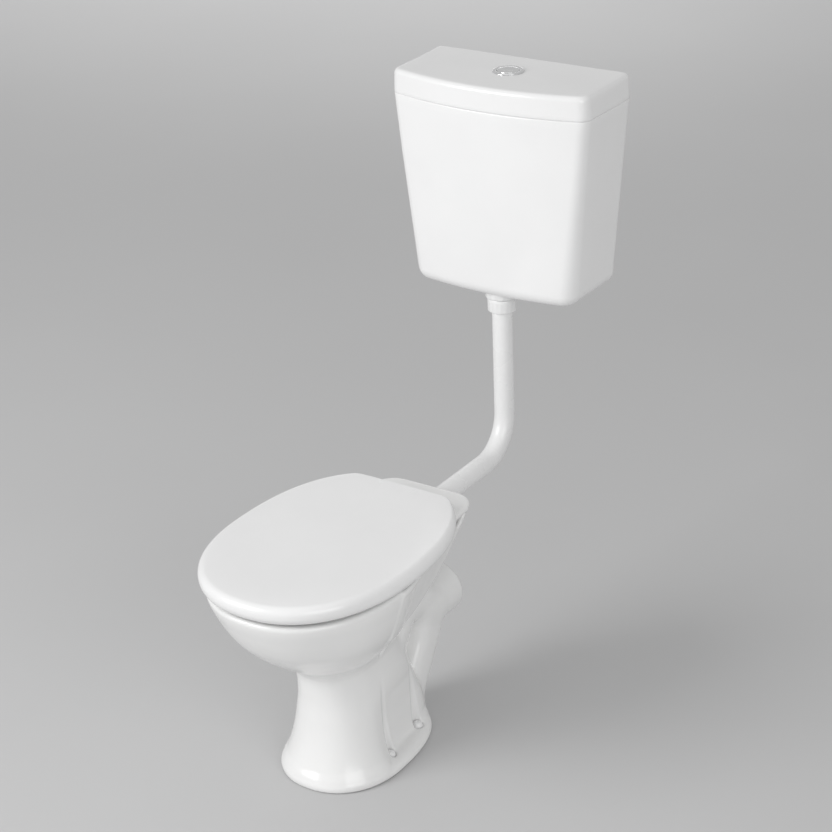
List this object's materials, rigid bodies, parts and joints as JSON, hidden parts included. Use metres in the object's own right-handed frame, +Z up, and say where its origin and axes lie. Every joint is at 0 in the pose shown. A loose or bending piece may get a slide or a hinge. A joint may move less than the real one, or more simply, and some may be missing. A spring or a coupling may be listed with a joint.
{
  "type": "low level toilet",
  "caption": "White toilet suite: washdown pan with a rear outlet, seat and lid on a bar hinge, and a push-button wall cistern on a flush bend.",
  "frame": {"origin": "on the floor, under the middle of the whole suite", "axes": "+Z up, +Y towards the wall the cistern hangs on, +X to the right of a person facing the wall"},
  "size_m": [0.402, 0.936, 1.095],
  "materials": {
    "ceramic": "clear gloss glaze over white vitreous china",
    "chrome": "bright chrome plate",
    "grey_plastic": "plain satin moulding",
    "rubber": "matt moulded rubber",
    "steel": "bright zinc plated steel",
    "white_plastic": "smooth gloss moulding"
  },
  "bodies": {
    "pan_and_cistern": {"pan": "ceramic", "floor_screw_front_left": "steel", "screw_cap_front_left": "white_plastic", "floor_screw_front_right": "steel", "screw_cap_front_right": "white_plastic", "floor_screw_rear_left": "steel", "screw_cap_rear_left": "white_plastic", "floor_screw_rear_right": "steel", "screw_cap_rear_right": "white_plastic", "flush_pipe": "white_plastic", "flush_cone": "rubber", "coupling_nut": "white_plastic", "pipe_seal": "rubber", "valve_back_nut": "white_plastic", "cistern_body": "white_plastic", "wall_washer_left": "rubber", "wall_screw_left": "steel", "wall_washer_right": "rubber", "wall_screw_right": "steel", "valve_body": "white_plastic", "valve_gasket": "rubber", "fill_valve": "white_plastic", "fill_valve_washer": "rubber", "fill_valve_nut": "white_plastic", "hinge_rod": "steel", "hinge_post_left": "chrome", "hinge_washer_left": "rubber", "wing_nut_left": "white_plastic", "hinge_post_right": "chrome", "hinge_washer_right": "rubber", "wing_nut_right": "white_plastic"},
    "seat": {"seat_ring": "white_plastic", "seat_buffer_front_left": "rubber", "seat_buffer_front_right": "rubber", "seat_buffer_rear_left": "rubber", "seat_buffer_rear_right": "rubber"},
    "seat_lid": {"seat_lid": "white_plastic", "lid_buffer_left": "rubber", "lid_buffer_right": "rubber"},
    "cistern_lid": {"cistern_lid": "white_plastic", "button_bezel": "chrome", "bezel_nut": "grey_plastic"},
    "flush_button": {"flush_button": "chrome", "button_plunger": "grey_plastic"},
    "fill_float": {"fill_float": "grey_plastic"},
    "flush_valve": {"valve_seal": "rubber", "lift_tube": "grey_plastic"}
  },
  "joints": [
    {"name": "seat_hinge", "type": "hinge", "parent": "pan_and_cistern", "child": "seat", "pos_m": [0, -0.008, 0.429], "axis": [1, 0, 0], "range_deg": [-100, 0]},
    {"name": "lid_hinge", "type": "hinge", "parent": "seat", "child": "seat_lid", "pos_m": [0, -0.008, 0.429], "axis": [-1, 0, 0], "range_deg": [0, 96]},
    {"name": "cistern_lid_lift", "type": "slide", "parent": "pan_and_cistern", "child": "cistern_lid", "axis": [0, 0, 1], "range_m": [0, 0.12]},
    {"name": "button_press", "type": "slide", "parent": "cistern_lid", "child": "flush_button", "axis": [0, 0, -1], "range_m": [0, 0.006], "stiffness_N_per_m": 800, "springref_m": -0.008},
    {"name": "float_rise", "type": "slide", "parent": "pan_and_cistern", "child": "fill_float", "axis": [0, 0, 1], "range_m": [0, 0.06]},
    {"name": "valve_lift", "type": "slide", "parent": "pan_and_cistern", "child": "flush_valve", "axis": [0, 0, 1], "range_m": [0, 0.024]}
  ],
  "couplings": [
    {"joint": "valve_lift", "follows": "button_press", "ratio": 4}
  ]
}
